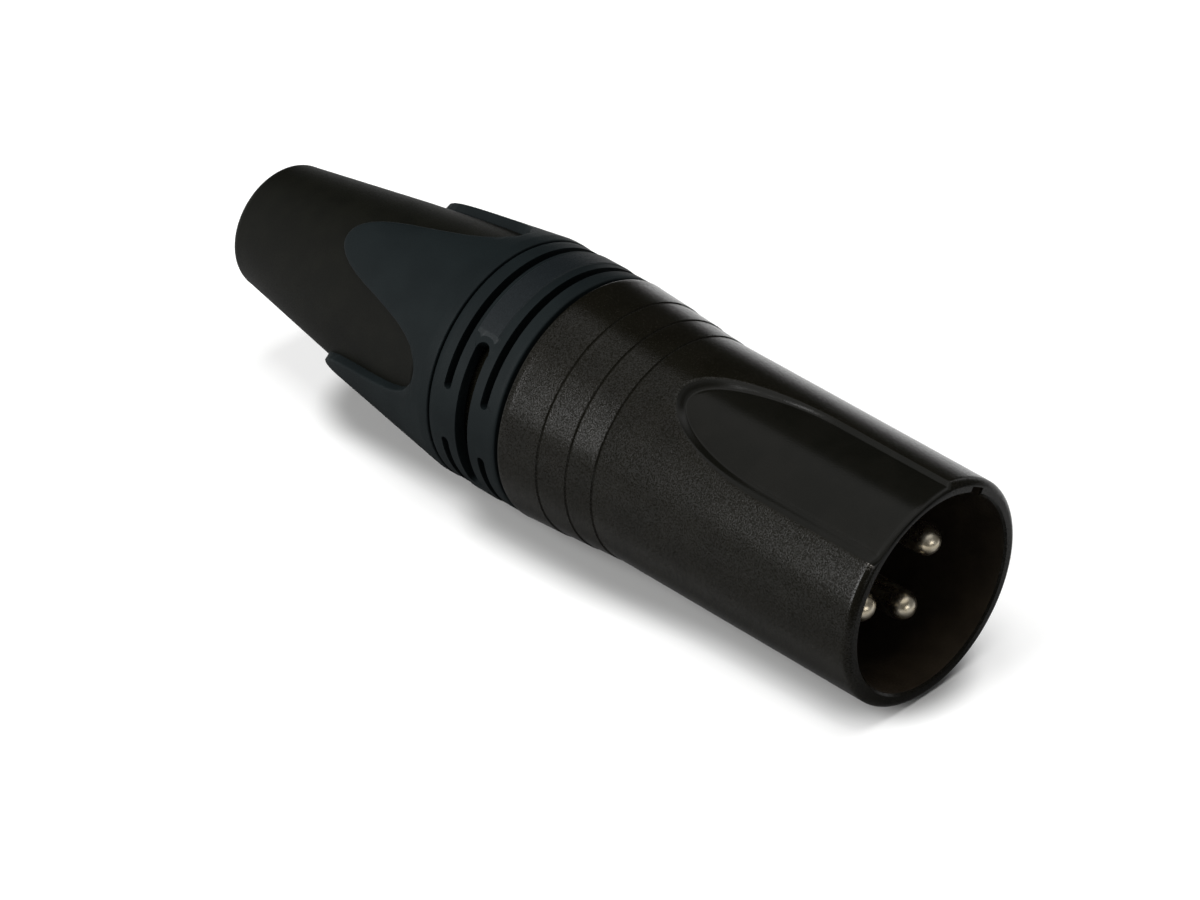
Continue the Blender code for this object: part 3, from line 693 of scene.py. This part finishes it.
def bushing_profiles():
    """Outer and inner rows of radius and height, and how many of them go all the way round."""
    nose = [(NOSE_R - NOSE_CHAMFER, NOSE_LOW), (NOSE_R, NOSE_LOW + NOSE_CHAMFER)]
    nose += [(NOSE_R, z) for z in spaced(34.0, 43.0, 0.16)]
    nose += [(NOSE_R, COLLAR_LOW), (9.6, COLLAR_LOW)]
    nose += arc(COLLAR_R - COLLAR_ROUND, COLLAR_LOW + COLLAR_ROUND, COLLAR_ROUND, -90, 0, 4)
    collar = [(COLLAR_R, z) for z in (44.2, 44.6, SKIRT_START)]
    collar += [(float(skirt_r(z)), z) for z in (45.0, 45.3, 45.6, 45.8, 45.9)]
    finger_z = slow_start(ARCH_APEX + 0.004, 48.0 - ARCH_APEX, 26)
    finger_z += spaced(48.2, 57.8, 0.2) + slow_end(TIP, TIP_REACH, 22)
    outer = nose + collar + [(float(skirt_r(z)), z) for z in finger_z]

    root_r = float(skirt_r(SKIRT_LOW)) - FINGER_WALL
    inner = [(NOSE_BORE_R, z) for _, z in nose]
    inner += [(NOSE_BORE_R, 45.2), (NOSE_BORE_R, SKIRT_LOW)]
    inner += [(NOSE_BORE_R - SLEEVE_WALL, SLEEVE_HIGH), (SLEEVE_R - SLEEVE_WALL, SLEEVE_HIGH)]
    inner += [(r, SKIRT_LOW) for r in (SLEEVE_R, SLEEVE_R + 0.4, root_r - 0.2, root_r)]
    for i, z in enumerate(finger_z):
        radius = float(skirt_r(max(z, SKIRT_LOW))) - FINGER_WALL
        inner.append((radius, max(z, SKIRT_LOW + 0.002 * i)))
    return np.array(outer), np.array(inner), len(nose) + len(collar)


def make_bushing(looks):
    outer, inner, solid_rows = bushing_profiles()
    outer_r, outer_z = outer[:, :1], outer[:, 1:]
    free = np.arange(len(outer))[:, None] >= solid_rows
    half = np.maximum((45 - np.where(free, window_half(outer_z), 0.0)) * DEG * outer_r, 0.02)
    edge = np.minimum(np.array(EDGE_STEPS), half * np.linspace(0, 0.5, len(EDGE_STEPS)))
    middle = np.linspace(1, -1, 17)[1:-1] * (half - edge[:, -1:])
    x = np.hstack([half - edge, middle, (edge - half)[:, ::-1]])
    local = x / outer_r

    rolled = np.where(free | (outer_z > ROLL_START), edge_roll(x, outer_z), 0.0)
    skin = (outer_r - rolled, outer_z + 0 * x)
    raised = TIP_UNDER * smooth((inner[:, 1:] - TIP_UNDER_START) / TIP_UNDER_RUN)
    back = (inner[:, :1] + 0 * x, inner[:, 1:] + raised + 0 * x)
    on_nose = (np.abs(skin[0] - NOSE_R) < 1e-6) & (skin[1] < 43.2)

    rows, columns = x.shape
    i, j = [v.reshape(-1) for v in np.indices((rows - 1, columns - 1))]
    a, b, c, d = [r * columns + s for r, s in ((i, j), (i, j + 1), (i + 1, j + 1), (i + 1, j))]
    quads = [np.stack([a, d, c, b], 1), np.stack([a, b, c, d], 1) + x.size]
    row, column = np.arange(solid_rows - 1, rows - 1), np.arange(columns - 1)
    borders = [(row * columns + at, (row + 1) * columns + at) for at in (0, columns - 1)]
    borders += [(at * columns + column, at * columns + column + 1) for at in (0, rows - 1)]
    quads += [np.stack([p, q, q + x.size, p + x.size], 1) for p, q in borders]
    quads = np.vstack(quads)

    points, faces = [], []
    for k, centre in enumerate(FINGER_ANGLES):
        turn = centre * DEG - local
        thread = np.where(on_nose, helix_ridge(turn, skin[1], 0.5, 34.1, 42.8), 0.0)
        points += [bent(skin[0] + thread, turn, skin[1]), bent(back[0], turn, back[1])]
        faces.append(quads + 2 * k * x.size)
    return build("bushing_fingers", np.stack(points), np.vstack(faces), looks, sharp=40)


# Soft boot

BOOT_GAP = 0.85
TAIL_R, END_R = 7.58, 5.44
BOOT_ROUND = 1.1
BOOT_SINK, BOOT_SINK_RUN = 0.45, 0.7
HOLE_R, HOLE_EDGE = 4.1, 0.25
CONE_R, CONE_END = 5.35, 55.9
SEAT_R, SEAT_HIGH = 7.6, 50.9


def boot_r(z):
    """Outer radius: under the fingers, then the bare tail."""
    tail = np.interp(z, (TIP, BOOT_HIGH), (TAIL_R, END_R))
    return np.where(z < TIP, skirt_r(z) - BOOT_GAP, tail)


def make_boot(looks):
    stations = spaced(46.35, 48.0, 0.1) + spaced(48.3, 59.0, 0.4)
    stations += [59.2, TIP, 59.4, 59.5, 59.7, 60.0] + spaced(60.5, 71.6, 0.6)
    body = []
    for z in stations:
        sink = BOOT_SINK * (1 - float(smooth((z - BOOT_LOW) / BOOT_SINK_RUN)))
        body.append((float(boot_r(z)) - sink, z))
    round_low = BOOT_HIGH - BOOT_ROUND
    end = arc(float(boot_r(round_low)) - BOOT_ROUND, round_low, BOOT_ROUND, 6, 90, 10)
    hole = [(HOLE_R + HOLE_EDGE, BOOT_HIGH), (HOLE_R + 0.07, BOOT_HIGH - 0.07)]
    hole += [(HOLE_R, BOOT_HIGH - HOLE_EDGE), (HOLE_R, 60.0), (HOLE_R, CONE_END)]
    throat = [(CONE_R, SEAT_HIGH), (SEAT_R, SEAT_HIGH), (SEAT_R, BOOT_LOW + 0.05)]
    return turned("soft_boot_sleeve", body + end + hole + throat, looks, 128, sharp=34)


# Contacts and their insert

INSERT_R, FLANGE_R = 7.0, 7.7
INSERT_LOW, FLANGE_LOW, FLANGE_HIGH, INSERT_HIGH = 15.0, 16.9, 19.1, 23.1
FIN_ANGLES, FIN_HALF, FIN_R, FIN_HIGH = (90, 225, 315), 0.45, 6.6, 29.9
PIN_HOLES = ((1.4, 14.0, 24.0), (1.85, 22.1, 24.0))
PIN_R, PIN_FRONT = 1.2, 4.0
PIN_COLLAR_R, PIN_COLLAR_LOW, PIN_COLLAR_HIGH = 1.65, 22.3, 23.3
CUP_R, CUP_HOLE_R, CUP_FLOOR, CUP_HIGH = 1.5, 1.05, 25.5, 29.7
MOUTH_START, MOUTH_HALF, MOUTH_LOW = 0.37, 2.2, 26.3


def make_insert(looks):
    loop = [(0.0, INSERT_LOW), (6.2, INSERT_LOW), (6.35, 15.25), (6.65, 15.25), (6.8, INSERT_LOW)]
    loop += [(6.92, INSERT_LOW), (INSERT_R, 15.08), (INSERT_R, FLANGE_LOW)]
    loop += [(7.6, FLANGE_LOW), (FLANGE_R, 17.0), (FLANGE_R, FLANGE_HIGH), (INSERT_R, FLANGE_HIGH)]
    loop += [(INSERT_R, 22.95), (6.85, INSERT_HIGH), (0.0, INSERT_HIGH)]
    piece = turned("insert_moulding", loop, looks)
    for angle in FIN_ANGLES:
        fin = block("fin", (-FIN_HALF, -FIN_HALF, 22.0), (FIN_R, FIN_HALF, FIN_HIGH), angle)
        carve(piece, fin, "UNION")
    for x, y in PIN_PLACES:
        for radius, low, high in PIN_HOLES:
            tool = turned("bore", [(0.0, low), (radius, low), (radius, high), (0.0, high)], looks, 48)
            tool.location = (x * MM, y * MM, 0)
            carve(piece, tool)
    shade(piece.data)
    bevel(piece, 0.06)
    return piece


def make_pin(number, at, looks):
    """A pin with a domed tip, a collar and a solder cup that opens away from the axis."""
    loop = [(0.0, PIN_FRONT - PIN_R)] + arc(0.0, PIN_FRONT, PIN_R, -90, 0, 12)[1:]
    loop += [(PIN_R, PIN_COLLAR_LOW), (1.6, PIN_COLLAR_LOW), (PIN_COLLAR_R, 22.35)]
    loop += [(PIN_COLLAR_R, 23.25), (1.6, PIN_COLLAR_HIGH), (CUP_R, PIN_COLLAR_HIGH)]
    loop += [(CUP_R, 29.62), (1.42, CUP_HIGH), (1.12, CUP_HIGH), (CUP_HOLE_R, 29.63)]
    loop += [(CUP_HOLE_R, 25.6), (0.9, CUP_FLOOR), (0.0, CUP_FLOOR)]
    piece = turned(f"pin_{number}", loop, looks, 48)
    piece.location = (at[0] * MM, at[1] * MM, 0)
    outward = math.degrees(math.atan2(at[1], at[0]))
    low, high = (MOUTH_START, -MOUTH_HALF, MOUTH_LOW), (MOUTH_HALF, MOUTH_HALF, 31.0)
    tool = block("mouth", low, high, outward)
    tool.location = piece.location
    carve(piece, tool)
    piece.data.transform(Matrix.Translation(piece.location))
    piece.location = (0, 0, 0)
    shade(piece.data)
    return piece


# Camera, table and light. The plug lies on its side, so up is across its axis.

CAMERA_AT = (0.1361, 0.2563, -0.1701)
CAMERA_RIGHT = (-0.6722, -0.2109, -0.7097)
CAMERA_UP = (-0.6373, 0.6526, 0.4098)
CAMERA_BACK = (0.3767, 0.7277, -0.5731)
LENS, SENSOR = 135, 36
MIDDLE = Vector((0, 0, 0.034))
TABLE_UP = Vector((-0.2993, 0.9542, 0.0))
TABLE_SLOPE = Vector((0, 0, 1.05 / 40))
TABLE_DROP, TABLE_HALF = 9.52 * MM, 0.45
TABLE_WHITE = (0.555, 0.555, 0.55, 1)
WHITE = (1, 1, 1, 1)

# Each is where a ramp starts and ends, in metres, and its two values
# Painted shadow on the table for the camera: no lift close to the plug, a lift that rises with
# distance from it, and a wider unlifted band by the plug's waist
SHADOW_LIFT_NEAR = (0.0045, 0.0084, 0.0, 0.5)
SHADOW_LIFT_FAR = (0.02, 0.15, 0.0, 0.7)
SHADOW_SPAN = (0.0047, 0.0578)
SHADOW_WAIST_FRONT = (0.014, 0.03, 1.0, 0.77)
SHADOW_WAIST_REAR = (0.0395, 0.0455, 0.0, 0.23)
# Painted reflection of the table: a painted shadow near the plug and painted shade in front of its rim
MIRRORED_SHADOW_NEAR = (0.0075, 0.0125, 0.1, 0.38)
MIRRORED_SHADOW_FAR = (0.01, 0.04, 0.0, 0.72)
MIRRORED_SHADE_FRONT = (-0.032, -0.016, 0.1, 1.0)

# The same for the world, over the height of a direction or its closeness to straight up
FILL = 0.12
DARK_MIDDLE = 155.0 * DEG
DARK_START = (-33.0 * DEG, -26.0 * DEG, 0.0, 1.0)
DARK_END = (32.0 * DEG, 60.0 * DEG, 1.0, 0.0)
DARK_BY_HEIGHT = (0.0, 0.3, 0.0, 0.97)
CEILING = (0.6, 0.8, 0.08, 0.5)
FRONT_BY_HEIGHT = (-0.3, 0.05, 0.08, 1.0)
LEVEL_BY_HEIGHT = (0.34, 0.62, 1.75, 1.0)

# Name, direction, distance, size, power in watts and roll in degrees
LAMPS = (
    ("overhead", (-0.28, 0.93, -0.04), 0.45, (0.3, 0.3), 2.0, 0),
    ("front", (0.05, 0.07, -0.997), 0.4, (0.15, 0.17), 0.17, 0),
    ("key", (0.67, 0.685, 0.228), 1.2, (1.05, 0.42), 17.8, -7),
)


def make_camera():
    data = bpy.data.cameras.new("view")
    data.lens = LENS
    data.sensor_width = SENSOR
    data.clip_start = 0.01
    data.clip_end = 20
    made = link("view", data)
    axes = [(*row, 0.0) for row in zip(CAMERA_RIGHT, CAMERA_UP, CAMERA_BACK)]
    made.matrix_world = Matrix.Translation(CAMERA_AT) @ Matrix([*axes, (0.0, 0.0, 0.0, 1.0)])
    bpy.context.scene.camera = made


def make_light(name, toward, distance, size, energy, roll):
    """A rectangular soft light that shines at the plug's middle from a direction."""
    data = bpy.data.lights.new(name, "AREA")
    data.shape = "RECTANGLE"
    data.size, data.size_y = size
    data.energy = energy
    made = link(name, data)
    direction = Vector(toward).normalized()
    made.location = MIDDLE + direction * distance
    facing = direction.to_track_quat("Z", "Y") @ Quaternion((0, 0, 1), roll * DEG)
    made.rotation_euler = facing.to_euler()


def make_table():
    """A white surface that the plug lies on. From behind it lets cameras and light through."""
    normal = (TABLE_UP + TABLE_SLOPE).normalized()
    across = normal.cross(Vector((0, 0, 1))).normalized()
    along = normal.cross(across)
    centre = -TABLE_UP * TABLE_DROP + MIDDLE - MIDDLE.dot(normal) * normal
    signs = ((-1, -1), (1, -1), (1, 1), (-1, 1))
    corners = [centre + TABLE_HALF * (across * a + along * b) for a, b in signs]
    mesh = bpy.data.meshes.new("table")
    mesh.from_pydata([tuple(c) for c in corners], [], [(0, 1, 2, 3)])
    made = link("table", mesh)
    if mesh.polygons[0].normal.dot(normal) < 0:
        mesh.flip_normals()
    mesh.materials.append(make_table_white(across))


def make_table_white(across):
    """White, lifted to pure white away from the plug for the camera and in reflections. Left unlifted
    near the plug, it paints the plug's shadow over the real diffuse shade, and the table seen in
    reflections is painted darker near the plug and in front of it.
    """
    material = bpy.data.materials.new("table_white")
    material.use_nodes = True
    nodes = Tree(material.node_tree)
    nodes.tree.nodes.clear()
    path, mirrored = nodes.rays()
    place = nodes.add("ShaderNodeTexCoord").outputs["Object"]
    sideways = nodes.vector("DOT_PRODUCT", place, across)
    height = nodes.vector("DOT_PRODUCT", place, (0, 0, 1))
    beside = nodes.math("MINIMUM", nodes.math("MAXIMUM", height, SHADOW_SPAN[0]), SHADOW_SPAN[1])
    beyond = nodes.math("SUBTRACT", height, beside)
    squares = [nodes.math("POWER", value, 2.0) for value in (sideways, beyond)]
    away = nodes.math("SQRT", nodes.math("ADD", *squares))
    # The waist ramps widen the painted shadow by the ring and the shell
    shadow_waist = nodes.math("ADD", nodes.ramp(height, *SHADOW_WAIST_FRONT), nodes.ramp(height, *SHADOW_WAIST_REAR))
    near = nodes.math("MULTIPLY", away, shadow_waist)
    lift = nodes.math("ADD", nodes.ramp(near, *SHADOW_LIFT_NEAR), nodes.ramp(away, *SHADOW_LIFT_FAR))
    # The lift shows to the camera only, and where it stays low near the plug it paints the shadow
    shadowed_lift = nodes.math("MULTIPLY", lift, path["Is Camera Ray"])
    # In reflections the table is only this painted emission, darker near the plug and in front of the
    # rim
    painted_reflection = nodes.math("ADD", nodes.ramp(away, *MIRRORED_SHADOW_NEAR), nodes.ramp(away, *MIRRORED_SHADOW_FAR))
    painted_reflection = nodes.math("MULTIPLY", painted_reflection, nodes.ramp(height, *MIRRORED_SHADE_FRONT))
    glow, mirror = [
        nodes.add("ShaderNodeEmission", Color=WHITE, Strength=strength).outputs[0]
        for strength in (shadowed_lift, painted_reflection)
    ]
    lit = nodes.add("ShaderNodeAddShader")
    nodes.put(lit.inputs[0], nodes.add("ShaderNodeBsdfDiffuse", Color=TABLE_WHITE).outputs[0])
    nodes.put(lit.inputs[1], glow)
    seen = nodes.pick(mirrored, lit.outputs[0], mirror)
    behind = nodes.add("ShaderNodeNewGeometry").outputs["Backfacing"]
    hidden = nodes.math("MAXIMUM", behind, path["Is Shadow Ray"])
    clear = nodes.add("ShaderNodeBsdfTransparent").outputs[0]
    nodes.add("ShaderNodeOutputMaterial", Surface=nodes.pick(hidden, seen, clear))
    return material


def make_world():
    """White for the camera and in reflections, with one dark side and a dimmer front."""
    world = bpy.data.worlds.new("studio")
    bpy.context.scene.world = world
    world.use_nodes = True
    nodes = Tree(world.node_tree)
    nodes.tree.nodes.clear()
    place = nodes.add("ShaderNodeTexCoord").outputs["Generated"]
    middle = Vector((math.cos(DARK_MIDDLE), math.sin(DARK_MIDDLE), 0))
    parts = [nodes.vector("DOT_PRODUCT", place, v) for v in (Vector((-middle.y, middle.x, 0)), middle)]
    turn = nodes.math("ARCTAN2", *parts)
    inside = nodes.math("MULTIPLY", nodes.ramp(turn, *DARK_START), nodes.ramp(turn, *DARK_END))
    up = nodes.vector("DOT_PRODUCT", place, (0, 0, 1))
    dark = nodes.math("MULTIPLY", inside, nodes.ramp(up, *DARK_BY_HEIGHT))
    ceiling = nodes.ramp(nodes.vector("DOT_PRODUCT", place, TABLE_UP), *CEILING)
    front = nodes.math("MAXIMUM", nodes.ramp(up, *FRONT_BY_HEIGHT), ceiling)
    sky = nodes.math("MULTIPLY", nodes.ramp(up, *LEVEL_BY_HEIGHT), nodes.math("SUBTRACT", 1.0, dark))
    strengths = (1.0, FILL, nodes.math("MULTIPLY", sky, front))
    white, fill, sky = [
        nodes.add("ShaderNodeBackground", Color=WHITE, Strength=strength).outputs[0]
        for strength in strengths
    ]
    path, mirrored = nodes.rays()
    unseen = nodes.pick(mirrored, fill, sky)
    nodes.add("ShaderNodeOutputWorld", Surface=nodes.pick(path["Is Camera Ray"], unseen, white))


def dress(node, look, rounding):
    """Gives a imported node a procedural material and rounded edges."""
    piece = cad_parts[node]
    for place in piece.material_slots:
        place.material = look
    bevel(piece, rounding)


def main():
    bpy.context.scene.view_settings.view_transform = "Standard"
    make_camera()
    make_world()
    make_table()
    for lamp in LAMPS:
        make_light(*lamp)
    bpy.data.objects["overhead"].visible_glossy = False

    housing_looks = [make_cast_look(), make_recess_look(), make_socket_look()]
    matt, rubber = make_matt_look(), make_rubber_look()
    plates = [
        make_plate_look("ring_plate", (0.0033, 0.0046, 0.0054), (0.0054, 0.0073, 0.0084)),
        # A lighter copy for the plates' edges: painted highlight
        make_plate_look("ring_plate_edge_painted_highlight", (0.0068, 0.0086, 0.0094), (0.0095, 0.012, 0.0128)),
    ]
    silver = make_silver_look()
    pieces = [
        (make_housing(housing_looks), "housing", "housing_black", "plug"),
        (make_insert([make_insert_look()]), "contact_insert", "insert_black", "plug"),
        (make_ring([matt, *plates]), "slotted_ring", "bushing_black", "plug"),
        (make_bushing([matt]), "bushing", "bushing_black", "gland"),
        (make_boot([rubber]), "soft_boot", "boot_rubber", "gland"),
    ]
    for number, at in enumerate(PIN_PLACES, 1):
        pin = make_pin(number, at, [silver])
        pieces.append((pin, f"contact_pin_{number}", "contact_silver", "plug"))
    for piece, node, slot, body in pieces:
        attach(piece, body)
        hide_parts(node)
    dress("ground_contact", silver, 0.03)
    dress("chuck", make_acetal_look(), 0.08)


main()
bpy.context.view_layer.update()
